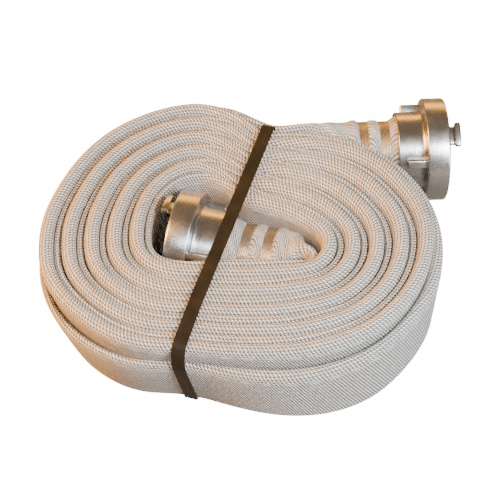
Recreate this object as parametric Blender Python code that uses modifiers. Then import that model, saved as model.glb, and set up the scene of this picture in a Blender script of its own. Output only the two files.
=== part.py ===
"""Rolled lay-flat fire hose with a 52 mm bore and two twist-lock claw couplings.

The roll lies on its side: the flat hose stands on edge and winds clockwise outward, seen
from above, from the coupling in its core to the coupling behind its right shoulder. A
plastic band holds the roll together. Metres, +Z up, the floor at Z = 0.
"""

import math

import bmesh
import bpy
from mathutils import Matrix, Vector

MM = 0.001
GAP = 0.0003

# Hose
ROUND_RADIUS = 0.0285
ROLL_TOP = 0.090
AXIS_HEIGHT = 0.049

# Band
BAND_WIDTH = 0.012
BAND_THICKNESS = 0.0009
BAND_CLEAR = 0.0008
BAND_POINT = Vector((-0.009, 0.0037))
BAND_HEADING = Vector((0.2866, 0.958)).normalized()

# Coupling, from its face (0) backwards along its axis
FLANGE_RADIUS = 0.049
FLANGE_BACK = -0.0215
HUB_RADIUS = 0.0365
HUB_BACK = -0.047
LIP_RADIUS = 0.0385
LIP_BACK = -0.0045
CHANNEL_RADIUS = 0.0445
CHANNEL_BACK = -0.012
WEB_RADIUS = 0.0276
WEB_BACK = -0.038
COUNTERBORE_RADIUS = 0.0342
SLOT_ANGLE = math.radians(56)
LUG_INNER = 0.0342
LUG_NECK_OUTER = 0.0381
LUG_HEAD_OUTER = 0.0435
LUG_NECK_ANGLE = math.radians(29)
LUG_HEAD_ANGLE = math.radians(33)
LUG_HEAD_START = 0.0055
LUG_HEAD_END = 0.0112
RIB_RADIUS = 0.044
RIB_WIDTH = 0.008
RIB_BACK = -0.0400
COLLAR_RADIUS = 0.033
BORE_RADIUS = 0.022
TAIL_RADIUS = 0.0244
TAIL_BEYOND = 0.0105
ROUND_BEYOND = 0.0125
BINDING_WIDTH = 0.009
BINDING_INNER = 0.0276
BINDING_OUTER = 0.0286
JACKET_START = -0.0430
SEGMENTS = 48

# The outline of the roll seen from above, as radii in millimetres about its middle: the
# foot of the outermost turn, the top edge of that turn, the height of that edge, and the
# outline of the full-height turns. It is pinched where the band crosses it.
ROLL_OUTLINE = (
    # degrees, foot, edge, edge height, top
    (0, 177, 176, 84, 173),
    (20, 163, 165, 84, 165),
    (35, 149, 151, 80, 154),
    (41, 144, 144, 79, 151),
    (44, 138, 138, 79, 147),
    (48, 140, 140, 79, 142),
    (53, 138, 138, 79, 138),
    (60, 132, 132, 79, 132),
    (70, 121, 121, 79, 121),
    (80, 122, 122, 82, 122),
    (90, 142, 145, 82, 143),
    (110, 160, 163, 82, 160),
    (140, 169, 172, 79, 170),
    (160, 170, 174, 72, 171),
    (180, 172, 178, 67, 177),
    (200, 168, 183, 68, 181),
    (220, 165, 183, 69, 177),
    (237, 152, 170, 69, 167),
    (251, 136, 157, 68, 153),
    (262, 138, 158, 69, 151),
    (280, 152, 165, 71, 153),
    (300, 167, 172, 73, 162),
    (320, 172, 175, 76, 168),
    (340, 175, 180, 81, 172),
)

# The core of the roll, which holds the inner coupling, as points in millimetres.
CORE_OUTLINE = (
    (67, -20), (59, 2), (40, 16.5), (17, 23), (4, 30), (-2, 43), (-22, 52), (-44, 59.5),
    (-62, 57), (-76, 44), (-84, 20), (-87, -5), (-87, -28), (-80, -42), (-70, -46.5),
    (-50, -49), (-26, -49.5), (0, -49), (50, -49), (65, -38),
)

# Each coupling's face centre, the way its face looks, how far its first lug and its first
# rib lean from upright towards the front of the roll, in degrees, and its bindings' middles.
COUPLINGS = {
    "outer": {
        "face": (0.1934, 0.129), "heading": 2.6, "lug": 26.0, "rib": 64.0,
        "bindings": (-0.058, -0.078),
    },
    "inner": {
        "face": (-0.061, 0.0084), "heading": 165.9, "lug": -13.0, "rib": 55.0,
        "bindings": (-0.068, -0.088),
    },
}

COLOURS = {
    "woven_jacket": ((0.80, 0.74, 0.64), 0.9, 0.0),
    "cast_aluminium": ((0.56, 0.55, 0.53), 0.38, 1.0),
    "machined_aluminium": ((0.66, 0.66, 0.66), 0.28, 1.0),
    "black_rubber": ((0.02, 0.02, 0.02), 0.7, 0.0),
    "spring_steel": ((0.35, 0.35, 0.36), 0.35, 1.0),
    "binding_wire": ((0.55, 0.50, 0.44), 0.35, 1.0),
    "black_strapping": ((0.03, 0.025, 0.02), 0.45, 0.0),
}


def clear_scene():
    for obj in list(bpy.data.objects):
        bpy.data.objects.remove(obj, do_unlink=True)


def new_collection(name):
    collection = bpy.data.collections.new(name)
    bpy.context.scene.collection.children.link(collection)
    return collection


def material(name):
    found = bpy.data.materials.get(name)
    if found:
        return found
    colour, roughness, metallic = COLOURS[name]
    made = bpy.data.materials.new(name)
    made.use_nodes = True
    shader = made.node_tree.nodes["Principled BSDF"]
    shader.inputs["Base Color"].default_value = (*colour, 1.0)
    shader.inputs["Roughness"].default_value = roughness
    shader.inputs["Metallic"].default_value = metallic
    return made


def add_object(name, mesh, collection, material_name=None, parent=None):
    obj = bpy.data.objects.new(name, mesh)
    collection.objects.link(obj)
    obj.parent = parent
    if material_name:
        mesh.materials.append(material(material_name))
    return obj


def smooth(obj, degrees=35):
    obj.data.shade_smooth()
    obj.data.set_sharp_from_angle(angle=math.radians(degrees))


def turned(name, profile, collection, material_name=None, parent=None, steps=SEGMENTS):
    """A closed (radius, z) profile turned about the local Z axis."""
    mesh = bpy.data.meshes.new(name)
    count = len(profile)
    edges = [(i, (i + 1) % count) for i in range(count)]
    mesh.from_pydata([(r, 0.0, z) for r, z in profile], edges, [])
    obj = add_object(name, mesh, collection, material_name, parent)
    screw = obj.modifiers.new("turn", "SCREW")
    screw.axis = "Z"
    screw.angle = math.tau
    screw.steps = steps
    screw.render_steps = steps
    screw.use_merge_vertices = True
    screw.merge_threshold = 0.00001
    screw.use_smooth_shade = True
    return obj


def evaluated_mesh(obj):
    """A new mesh of the object with its modifiers applied."""
    graph = bpy.context.evaluated_depsgraph_get()
    graph.update()
    return bpy.data.meshes.new_from_object(obj.evaluated_get(graph))


def prism(name, outline, low, high, collection):
    """A mesh plate of the (x, y) outline between two heights, made from a filled curve."""
    curve = bpy.data.curves.new(name, "CURVE")
    curve.dimensions = "2D"
    curve.fill_mode = "BOTH"
    curve.extrude = (high - low) / 2
    spline = curve.splines.new("POLY")
    spline.points.add(len(outline) - 1)
    for point, (x, y) in zip(spline.points, outline):
        point.co = (x, y, 0.0, 1.0)
    spline.use_cyclic_u = True
    guide = bpy.data.objects.new(name + "_outline", curve)
    collection.objects.link(guide)
    mesh = evaluated_mesh(guide)
    bpy.data.objects.remove(guide, do_unlink=True)
    mesh.transform(Matrix.Translation((0.0, 0.0, (low + high) / 2)))
    weld(mesh)
    return add_object(name, mesh, collection)


def weld(mesh):
    """Joins the points where a filled curve's caps meet its sides."""
    work = bmesh.new()
    work.from_mesh(mesh)
    bmesh.ops.remove_doubles(work, verts=work.verts, dist=0.000005)
    bmesh.ops.recalc_face_normals(work, faces=work.faces)
    work.to_mesh(mesh)
    work.free()


def sector(inner, outer, middle, width, steps):
    """The outline of an arc-shaped plate about the origin, middle and width in radians."""
    start = middle - width / 2
    outline = []
    for i in range(steps + 1):
        angle = start + width * i / steps
        outline.append((outer * math.cos(angle), outer * math.sin(angle)))
    for i in range(steps, -1, -1):
        angle = start + width * i / steps
        outline.append((inner * math.cos(angle), inner * math.sin(angle)))
    return outline


def boolean(obj, other, operation):
    """Joins the other solid to the object or cuts it away, and hides it."""
    other.hide_render = True
    other.display_type = "WIRE"
    other.parent = obj.parent
    modifier = obj.modifiers.new(operation.lower(), "BOOLEAN")
    modifier.operation = operation
    modifier.object = other
    modifier.solver = "EXACT"


def spline_point(points, index, share):
    """Catmull-Rom interpolation on a closed row of number tuples."""
    count = len(points)
    before, start, end, after = (points[(index + k) % count] for k in (-1, 0, 1, 2))
    result = []
    for p0, p1, p2, p3 in zip(before, start, end, after):
        value = 2 * p1 + (p2 - p0) * share
        value += (2 * p0 - 5 * p1 + 4 * p2 - p3) * share**2
        value += (3 * p1 - p0 - 3 * p2 + p3) * share**3
        result.append(value / 2)
    return result


def roll_outline(degrees):
    """(foot, edge, edge height, top) in metres of the roll in this direction."""
    degrees %= 360
    angles = [row[0] for row in ROLL_OUTLINE]
    index = max(i for i, angle in enumerate(angles) if angle <= degrees)
    following = angles[index + 1] if index + 1 < len(angles) else 360
    share = (degrees - angles[index]) / (following - angles[index])
    rows = [row[1:] for row in ROLL_OUTLINE]
    return [value * MM for value in spline_point(rows, index, share)]


def core_outline(count):
    """Points at even steps round the core of the roll, counterclockwise from +X."""
    middle = Vector((-0.008, -0.006))
    dense = []
    points = [(x * MM, y * MM) for x, y in CORE_OUTLINE]
    for index in range(len(points)):
        for step in range(8):
            dense.append(Vector(spline_point(points, index, step / 8)) - middle)
    result = []
    for i in range(count):
        angle = math.tau * i / count
        ray = Vector((math.cos(angle), math.sin(angle)))
        best = 0.0
        for a, b in zip(dense, dense[1:] + dense[:1]):
            side = b - a
            cross = ray.x * side.y - ray.y * side.x
            if abs(cross) < 1e-12:
                continue
            reach = (a.x * side.y - a.y * side.x) / cross
            share = (a.x * ray.y - a.y * ray.x) / cross
            if reach > 0 and 0 <= share <= 1:
                best = max(best, reach)
        result.append(middle + ray * best)
    return result


def loft(name, rings, collection, material_name, closed_ring_row=False):
    """Quads between rings of points. A closed row joins its last ring to its first, and an
    open one gets a cap at each end."""
    work = bmesh.new()
    rows = [[work.verts.new(point) for point in ring] for ring in rings]
    pairs = list(zip(rows, rows[1:]))
    if closed_ring_row:
        pairs.append((rows[-1], rows[0]))
    for one, two in pairs:
        for i in range(len(one)):
            j = (i + 1) % len(one)
            work.faces.new((one[i], one[j], two[j], two[i]))
    if not closed_ring_row:
        work.faces.new(rows[0][::-1])
        work.faces.new(rows[-1])
    bmesh.ops.recalc_face_normals(work, faces=work.faces)
    mesh = bpy.data.meshes.new(name)
    work.to_mesh(mesh)
    work.free()
    return add_object(name, mesh, collection, material_name)


def make_roll(parts, cutters):
    """The wound turns as one solid: an outer wall with the lower last turn as a step, an
    open core, and a channel in the underside that takes the band."""
    count = 96
    step, bevel = 0.0015, 0.003
    rings = [[] for _ in range(6)]
    core = core_outline(count)
    for i in range(count):
        degrees = 360 * i / count
        ray = Vector((math.cos(math.radians(degrees)), math.sin(math.radians(degrees))))
        foot, edge, height, top = roll_outline(degrees)
        for ring, radius, z in (
            (rings[0], foot, 0.0),
            (rings[1], edge, height),
            (rings[2], top, height + step),
            (rings[3], top, ROLL_TOP - bevel),
            (rings[4], top - bevel, ROLL_TOP),
        ):
            ring.append(Vector((ray.x * radius, ray.y * radius, z)))
        rings[5].append(Vector((core[i].x, core[i].y, ROLL_TOP)))
    rings.append([Vector((p.x, p.y, 0.0)) for p in core])
    roll = loft("hose_roll", rings, parts, "woven_jacket", closed_ring_row=True)
    side = Vector((-BAND_HEADING.y, BAND_HEADING.x)) * (BAND_WIDTH / 2 + 0.0008)
    reach = BAND_HEADING * 0.25
    outline = []
    for along, across in ((1, 1), (-1, 1), (-1, -1), (1, -1)):
        outline.append(BAND_POINT + reach * along + side * across)
    channel = prism("band_channel", outline, -0.002, BAND_THICKNESS + GAP, cutters)
    boolean(roll, channel, "DIFFERENCE")


def band_section():
    """The inner loop of the band, as (distance along its heading, height) points. At each
    end it stands off the furthest point of the roll within its width."""
    across = Vector((-BAND_HEADING.y, BAND_HEADING.x))
    ends = []
    for sign, middle in ((1, 79.5), (-1, 249.0)):
        reaches = []
        for degrees in [middle + step * 0.5 for step in range(-14, 15)]:
            foot, edge, height, top = roll_outline(degrees)
            angle = math.radians(degrees)
            ray = Vector((math.cos(angle), math.sin(angle)))
            spots = [ray * radius - BAND_POINT for radius in (foot, edge, top)]
            if min(abs(spot.dot(across)) for spot in spots) < BAND_WIDTH / 2 + 0.001:
                reaches.append([sign * spot.dot(BAND_HEADING) for spot in spots])
        furthest = [max(column) + BAND_CLEAR for column in zip(*reaches)]
        height = roll_outline(middle)[2]
        ends.append([sign * value for value in furthest] + [height])
    (back_foot, back_edge, back_top, back_height), (foot, edge, top, height) = ends
    low, high = BAND_THICKNESS, ROLL_TOP + GAP
    return [
        (back_foot, low), (max(back_edge, back_top), back_height),
        (back_top, high - 0.003), (back_top - 0.003, high),
        (top + 0.003, high), (top - 0.001, high - 0.004),
        (edge, height + 0.001), (edge, height - 0.004), (foot, low),
    ]


def make_band(parts):
    """The band as one closed loop of even thickness round its inner section."""
    inner = band_section()
    outer = []
    for i in range(len(inner)):
        before, here, after = (Vector(inner[(i + k) % len(inner)]) for k in (-1, 0, 1))
        one = (here - before).normalized()
        two = (after - here).normalized()
        normal = Vector((one.y + two.y, -one.x - two.x)).normalized()
        grow = BAND_THICKNESS / max(0.5, normal.dot(Vector((one.y, -one.x))))
        outer.append(here + normal * grow)
    rings = []
    across = Vector((-BAND_HEADING.y, BAND_HEADING.x))
    for loop, side in ((outer, -1), (outer, 1), (inner, 1), (inner, -1)):
        ring = []
        for s, z in loop:
            spot = BAND_POINT + BAND_HEADING * s + across * side * BAND_WIDTH / 2
            ring.append((spot.x, spot.y, max(z, 0.0)))
        rings.append(ring)
    loft("band", rings, parts, "black_strapping", closed_ring_row=True)


def coupling_frame(name, place, collection):
    """An empty at the face centre: local Z looks out of the face, local Y is up."""
    heading = math.radians(place["heading"])
    axis = Vector((math.cos(heading), math.sin(heading), 0.0))
    up = Vector((0.0, 0.0, 1.0))
    across = up.cross(axis)
    frame = bpy.data.objects.new(name + "_coupling", None)
    collection.objects.link(frame)
    turn = Matrix((across, up, axis)).transposed().to_4x4()
    frame.matrix_world = Matrix.Translation((*place["face"], AXIS_HEIGHT)) @ turn
    bpy.context.view_layer.update()
    return frame


def lean_angle(place, lean):
    """The local angle of something that leans this far from upright towards the front."""
    front_is_plus_x = math.cos(math.radians(place["heading"])) < 0
    return math.radians(90 - lean if front_is_plus_x else 90 + lean)


def make_lug_ring(name, place, frame, parts, cutters):
    """The ring that turns: flange, hub, two hooked lugs, two slots and three grip ribs."""
    profile = (
        (LIP_RADIUS, 0.0), (0.0462, 0.0), (0.0481, -0.0008), (FLANGE_RADIUS, -0.0028),
        (FLANGE_RADIUS, -0.0202), (0.0481, FLANGE_BACK), (0.0395, FLANGE_BACK),
        (0.0373, -0.0225), (HUB_RADIUS, -0.0248), (HUB_RADIUS, -0.0458),
        (0.0355, HUB_BACK), (COUNTERBORE_RADIUS, HUB_BACK), (COUNTERBORE_RADIUS, WEB_BACK),
        (WEB_RADIUS, WEB_BACK), (WEB_RADIUS, CHANNEL_BACK), (CHANNEL_RADIUS, CHANNEL_BACK),
        (CHANNEL_RADIUS, LIP_BACK), (LIP_RADIUS, LIP_BACK),
    )
    ring = turned(name + "_lug_ring", profile, parts, "cast_aluminium", frame)
    lug = lean_angle(place, place["lug"])
    for i in range(2):
        middle = lug + math.pi * i
        slot = sector(0.036, CHANNEL_RADIUS - 0.0009, middle + math.pi / 2, SLOT_ANGLE, 8)
        boolean(ring, prism(f"{name}_slot_{i}", slot, LIP_BACK - 0.001, 0.001, cutters), "DIFFERENCE")
        neck = sector(LUG_INNER, LUG_NECK_OUTER + 0.0012, middle, LUG_NECK_ANGLE, 5)
        low, high = CHANNEL_BACK - 0.001, -0.0007
        boolean(ring, prism(f"{name}_lug_root_{i}", neck, low, high, cutters), "UNION")
        neck = sector(LUG_INNER + 0.0003, LUG_NECK_OUTER, middle, LUG_NECK_ANGLE * 0.98, 5)
        low, high = -0.003, LUG_HEAD_START + 0.001
        boolean(ring, prism(f"{name}_lug_neck_{i}", neck, low, high, cutters), "UNION")
        head = sector(LUG_INNER - 0.0003, LUG_HEAD_OUTER, middle, LUG_HEAD_ANGLE, 6)
        hook = prism(f"{name}_lug_head_{i}", head, LUG_HEAD_START, LUG_HEAD_END, cutters)
        boolean(ring, hook, "UNION")
    rib = lean_angle(place, place["rib"])
    for i in range(3):
        angle = rib + math.tau * i / 3
        turn = Matrix.Rotation(angle, 2)
        corners = ((0.0353, -1), (RIB_RADIUS - 0.001, -1), (RIB_RADIUS, -0.75))
        corners += ((RIB_RADIUS, 0.75), (RIB_RADIUS - 0.001, 1), (0.0353, 1))
        outline = [turn @ Vector((r, side * RIB_WIDTH / 2)) for r, side in corners]
        low, high = RIB_BACK, FLANGE_BACK + 0.001
        boolean(ring, prism(f"{name}_rib_{i}", outline, low, high, cutters), "UNION")


def make_tailpiece(name, place, frame, parts):
    """The turned piece that the hose is bound to: seal seat, collar, neck, groove, tail."""
    seat_floor, face, collar_back = -0.0063, -0.0015, CHANNEL_BACK + GAP
    neck, groove = 0.027, 0.0258
    profile = [
        (0.0308, face), (0.0326, face), (COLLAR_RADIUS, face - 0.0005),
        (COLLAR_RADIUS, collar_back), (neck, collar_back), (neck, -0.0388),
        (groove, -0.0388), (groove, -0.0412), (neck, -0.0412), (neck, -0.0418),
        (TAIL_RADIUS, -0.0424),
    ]
    first, second = place["bindings"]
    end = second - TAIL_BEYOND
    for middle in ((first + second) / 2, second - 0.0062):
        profile += [(TAIL_RADIUS, middle + 0.0015), (0.025, middle), (TAIL_RADIUS, middle - 0.0015)]
    profile += [
        (TAIL_RADIUS, end + 0.002), (0.0235, end), (BORE_RADIUS, end),
        (BORE_RADIUS, seat_floor), (0.0308, seat_floor),
    ]
    turned(name + "_tailpiece", profile, parts, "machined_aluminium", frame)


def make_rings(name, place, frame, parts):
    """Seal, snap ring, lining end and bindings, all turned about the coupling's axis."""
    seal = (
        (0.0242, 0.0006), (0.0285, 0.0006), (0.0298, -0.0006), (0.0305, -0.0030),
        (0.0305, -0.0060), (0.0238, -0.0060), (0.0238, -0.0010),
    )
    turned(name + "_seal", seal, parts, "black_rubber", frame, 40)
    snap = ((0.0262, -0.0391), (0.0296, -0.0391), (0.0296, -0.0409), (0.0262, -0.0409))
    turned(name + "_snap_ring", snap, parts, "spring_steel", frame, 40)
    far = place["bindings"][1] - 0.0095
    lining = ((0.0253, -0.0462), (0.0261, -0.0462), (0.0261, far), (0.0253, far))
    turned(name + "_lining_end", lining, parts, "black_rubber", frame, 40)
    half = BINDING_WIDTH / 2
    for number, middle in enumerate(place["bindings"], 1):
        profile = (
            (BINDING_OUTER - 0.0003, middle + half), (BINDING_OUTER, middle + half - 0.0006),
            (BINDING_OUTER, middle - half + 0.0006), (BINDING_OUTER - 0.0003, middle - half),
            (BINDING_INNER, middle - half), (BINDING_INNER, middle + half),
        )
        turned(f"{name}_binding_{number}", profile, parts, "binding_wire", frame, 40)


def jacket_profile(bindings):
    """(z, outer radius) down the jacket over the hose tail: flared into the hub, waisted
    under the bindings and bulging between them."""
    half = BINDING_WIDTH / 2 + GAP
    rows = [(JACKET_START, 0.0330), (-0.0475, 0.0330), (bindings[0] + half + 0.0005, 0.0302)]
    for middle in bindings:
        rows += [(middle + half, 0.0296), (middle + half, 0.0273)]
        rows += [(middle - half, 0.0273), (middle - half, 0.0296)]
        rows += [(middle - 0.0085, 0.0301)]
    rows += [(bindings[1] - ROUND_BEYOND, ROUND_RADIUS)]
    return rows


def oval(half_height, half_width, count):
    """Points of a rounded flat section: an ellipse made squarer as it gets flatter."""
    squareness = 1 + 1.2 * max(0.0, 1 - half_width / half_height)
    points = []
    for i in range(count):
        angle = math.tau * i / count
        c, s = math.cos(angle), math.sin(angle)
        x = math.copysign(abs(c) ** (1 / squareness), c) * half_width
        points.append((x, s * half_height))
    return points


def make_tail(name, place, frame, route, parts):
    """The end of the hose: a sleeve over the hose tail, then a solid that flattens along
    the route, given as (along the axis, half width, half height, lift) rows."""
    count = 28
    inner, bottom = 0.0264, place["bindings"][1] - TAIL_BEYOND - 0.0008
    matrix = frame.matrix_world
    rings = []
    for z, radius in [(bottom, inner), (JACKET_START, inner)] + jacket_profile(place["bindings"]):
        circle = oval(radius, radius, count)
        rings.append([matrix @ Vector((x, y, z)) for x, y in circle])
    for z, half_width, half_height, lift in route:
        section = oval(half_height, half_width, count)
        rings.append([matrix @ Vector((x, y + lift, z)) for x, y in section])
    loft(f"hose_{name}_tail", rings, parts, "woven_jacket")


def centre_on_floor(parts):
    """Moves everything so that the origin is under the middle of the whole object."""
    graph = bpy.context.evaluated_depsgraph_get()
    graph.update()
    corners = []
    for obj in parts.objects:
        if obj.type == "MESH":
            evaluated = obj.evaluated_get(graph)
            corners += [evaluated.matrix_world @ v.co for v in evaluated.data.vertices]
    middle_x = (min(p.x for p in corners) + max(p.x for p in corners)) / 2
    middle_y = (min(p.y for p in corners) + max(p.y for p in corners)) / 2
    for obj in bpy.data.objects:
        if obj.parent is None:
            obj.location.x -= middle_x
            obj.location.y -= middle_y


def main():
    clear_scene()
    parts = new_collection("rolled_fire_hose")
    cutters = new_collection("cutters")
    make_roll(parts, cutters)
    make_band(parts)
    # (along the axis, half width, half height, lift of the centre), metres
    routes = {
        "outer": (
            (-0.097, 0.0200, 0.0300, -0.001),
            (-0.108, 0.0125, 0.0360, -0.002),
            (-0.125, 0.0065, 0.0400, -0.003),
            (-0.158, 0.0055, 0.0415, -0.0035),
        ),
        "inner": (
            (-0.112, 0.0225, 0.0310, 0.0),
            (-0.123, 0.0130, 0.0365, 0.0),
        ),
    }
    for name, place in COUPLINGS.items():
        frame = coupling_frame(name, place, parts)
        make_lug_ring(name, place, frame, parts, cutters)
        make_tailpiece(name, place, frame, parts)
        make_rings(name, place, frame, parts)
        make_tail(name, place, frame, routes[name], parts)
    for obj in parts.objects:
        if obj.type == "MESH":
            smooth(obj)
    centre_on_floor(parts)


main()
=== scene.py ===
"""The looks of the rolled fire hose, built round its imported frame.

The hose is one long strip, wound turn by turn from the inner coupling to the outer one.
Its plan is drawn in millimetres and each mesh is made in metres.
"""

import math

import bmesh
import bpy
import numpy as np
from mathutils import Matrix, Vector


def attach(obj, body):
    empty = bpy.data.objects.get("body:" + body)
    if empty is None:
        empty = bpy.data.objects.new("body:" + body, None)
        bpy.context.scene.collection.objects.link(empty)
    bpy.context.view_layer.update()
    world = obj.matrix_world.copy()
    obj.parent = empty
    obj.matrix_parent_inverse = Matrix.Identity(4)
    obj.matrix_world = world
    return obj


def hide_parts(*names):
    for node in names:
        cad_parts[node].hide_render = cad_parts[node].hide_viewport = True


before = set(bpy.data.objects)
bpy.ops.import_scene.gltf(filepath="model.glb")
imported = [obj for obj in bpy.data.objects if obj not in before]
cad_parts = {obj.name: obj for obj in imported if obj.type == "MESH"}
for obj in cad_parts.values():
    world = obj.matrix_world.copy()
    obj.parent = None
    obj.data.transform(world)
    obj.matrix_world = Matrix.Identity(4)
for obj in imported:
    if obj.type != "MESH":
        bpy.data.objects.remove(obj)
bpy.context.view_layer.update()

# In metres: where the frame's origin lies in the plan below, which is drawn about the
# middle of the roll, the height of the couplings' axes, and the width of the flat hose.
ORIGIN = np.array([0.0136788, 0.0076237, 0.0])
AXIS_HEIGHT = 0.049
# In millimetres: the height of the highest folds, and that of the hose's foot.
ROLL_TOP = 89.8
HOSE_FOOT = 1.2

# face: the middle of the coupling's face in plan, in metres. heading: the way that it
# looks. lug and rib: how far one lug and one rib lean from upright, towards the front.
# bindings: their places behind the face. Angles are in degrees.
COUPLINGS = {
    "outer": {
        "face": (0.1934, 0.129), "heading": 2.6, "lug": 26.0, "rib": 64.0,
        "bindings": (-0.058, -0.078),
    },
    "inner": {
        "face": (-0.061, 0.0084), "heading": 165.9, "lug": -13.0, "rib": 55.0,
        "bindings": (-0.068, -0.088),
    },
}


# ---------------------------------------------------------------- camera

CAMERA_ELEVATION = math.radians(48.0)
CAMERA_DISTANCE = 1.4545
CAMERA_AIM_HEIGHT = 0.047


def link(obj):
    bpy.context.scene.collection.objects.link(obj)


def make_camera():
    data = bpy.data.cameras.new("camera")
    data.lens = 115.2
    data.sensor_width = 36.0
    data.shift_x = 0.016
    data.clip_start = 0.05
    data.clip_end = 20.0
    camera = bpy.data.objects.new("camera", data)
    target = Vector((-ORIGIN[0], -ORIGIN[1], CAMERA_AIM_HEIGHT))
    back = Vector((0.0, -math.cos(CAMERA_ELEVATION), math.sin(CAMERA_ELEVATION)))
    camera.location = target + back * CAMERA_DISTANCE
    camera.rotation_euler = (math.radians(90) - CAMERA_ELEVATION, 0.0, 0.0)
    link(camera)
    bpy.context.scene.camera = camera


make_camera()


# ---------------------------------------------------------------- small helpers

def smoothstep(low, high, value):
    share = np.clip((value - low) / (high - low), 0.0, 1.0)
    return share * share * (3 - 2 * share)


def gaussian(values, sigma):
    """Values along the first axis, smoothed, with the ends held."""
    reach = int(4 * sigma) + 1
    kernel = np.exp(-0.5 * (np.arange(-reach, reach + 1) / sigma) ** 2)
    kernel /= kernel.sum()
    values = np.asarray(values, float)
    flat = values.reshape(len(values), -1)
    before = 2 * flat[:1] - flat[reach:0:-1]
    after = 2 * flat[-1:] - flat[-2:-reach - 2:-1]
    padded = np.concatenate([before, flat, after])
    columns = [np.convolve(column, kernel, mode="valid") for column in padded.T]
    return np.stack(columns, axis=1).reshape(values.shape)


def monotone_curve(rows, at):
    """Smooth values through (position, value...) rows, read at these positions."""
    rows = np.asarray(rows, float)
    x, y = rows[:, 0], rows[:, 1:]
    slope = np.gradient(y, x, axis=0)
    index = np.clip(np.searchsorted(x, at) - 1, 0, len(x) - 2)
    step = (x[index + 1] - x[index])[:, None]
    share = np.clip((at - x[index])[:, None] / step, 0.0, 1.0)
    h00 = 2 * share**3 - 3 * share**2 + 1
    h10 = share**3 - 2 * share**2 + share
    h01 = -2 * share**3 + 3 * share**2
    h11 = share**3 - share**2
    result = h00 * y[index] + h10 * step * slope[index]
    return result + h01 * y[index + 1] + h11 * step * slope[index + 1]


def new_piece(name, mesh, material, body, sharp_angle=None, matrix=None):
    """An object of this mesh, shaded smooth but for edges over the sharp angle in degrees,
    that rides on the body."""
    obj = bpy.data.objects.new(name, mesh)
    link(obj)
    mesh.materials.append(material)
    mesh.shade_smooth()
    if sharp_angle is not None:
        mesh.set_sharp_from_angle(angle=math.radians(sharp_angle))
    if matrix is not None:
        obj.matrix_world = matrix
    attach(obj, body)
    return obj


# ---------------------------------------------------------------- materials

class Nodes:
    """A thin wrapper for building a material's node tree."""

    def __init__(self, name):
        self.material = bpy.data.materials.new(name)
        self.material.use_nodes = True
        self.tree = self.material.node_tree
        self.shader = self.tree.nodes["Principled BSDF"]

    def add(self, kind, inputs=None, **settings):
        node = self.tree.nodes.new(kind)
        for key, value in settings.items():
            setattr(node, key, value)
        for key, value in (inputs or {}).items():
            self.put(node.inputs[key], value)
        return node

    def put(self, socket, value):
        if isinstance(value, bpy.types.NodeSocket):
            self.tree.links.new(value, socket)
        else:
            socket.default_value = value

    def math(self, operation, a, b=0.0, c=0.0):
        node = self.add("ShaderNodeMath", {0: a, 1: b, 2: c}, operation=operation)
        return node.outputs[0]

    def blend(self, share, a, b, mode="MIX"):
        node = self.add("ShaderNodeMix", data_type="RGBA", blend_type=mode)
        self.put(node.inputs["Factor"], share)
        self.put(node.inputs["A"], a)
        self.put(node.inputs["B"], b)
        return node.outputs["Result"]

    def noise(self, coordinate, scale, detail=2.0, roughness=0.5):
        inputs = {"Vector": coordinate, "Scale": scale, "Detail": detail, "Roughness": roughness}
        return self.add("ShaderNodeTexNoise", inputs).outputs["Fac"]

    def remap(self, value, low, high, to_low=0.0, to_high=1.0):
        inputs = {"Value": value, 1: low, 2: high, 3: to_low, 4: to_high}
        return self.add("ShaderNodeMapRange", inputs, clamp=True).outputs[0]

    def scaled(self, coordinate, scale, rotation=(0, 0, 0)):
        inputs = {"Vector": coordinate, "Scale": scale, "Rotation": rotation}
        return self.add("ShaderNodeMapping", inputs).outputs[0]

    def bump(self, height, strength, distance):
        inputs = {"Height": height, "Strength": strength, "Distance": distance}
        return self.add("ShaderNodeBump", inputs).outputs[0]

    def finish(self, **inputs):
        for key, value in inputs.items():
            self.put(self.shader.inputs[key.replace("_", " ")], value)
        return self.material


def stitches(n, along, across, pitch_along, pitch_across, slant, slim):
    """(height, shade) of slanted stitches, 0 to 1, each row half a pitch along from the
    last, as in a twill. Coordinates and pitches are in metres. Slant is how far a stitch
    leans across its row, and slim how narrow it is. Each stitch has its own shade."""
    row = n.math("DIVIDE", across, pitch_across)
    row_index = n.math("FLOOR", row)
    in_row = n.math("SUBTRACT", n.math("FRACT", row), 0.5)
    place = n.math("ADD", n.math("DIVIDE", along, pitch_along), n.math("MULTIPLY", row_index, 0.5))
    place = n.math("SUBTRACT", place, n.math("MULTIPLY", in_row, slant))
    x = n.math("MULTIPLY", n.math("SUBTRACT", n.math("FRACT", place), 0.5), slim)
    y = n.math("MULTIPLY", in_row, 2.0)
    wide = n.math("POWER", n.math("ABSOLUTE", x), 2.0)
    tall = n.math("POWER", n.math("ABSOLUTE", y), 4.0)
    height = n.remap(n.math("ADD", wide, tall), 1.0, 0.1)
    cell = n.add("ShaderNodeCombineXYZ", {0: n.math("FLOOR", place), 1: row_index}).outputs[0]
    own = n.add("ShaderNodeTexWhiteNoise", {"Vector": cell}, noise_dimensions="3D")
    return height, own.outputs["Value"]


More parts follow.
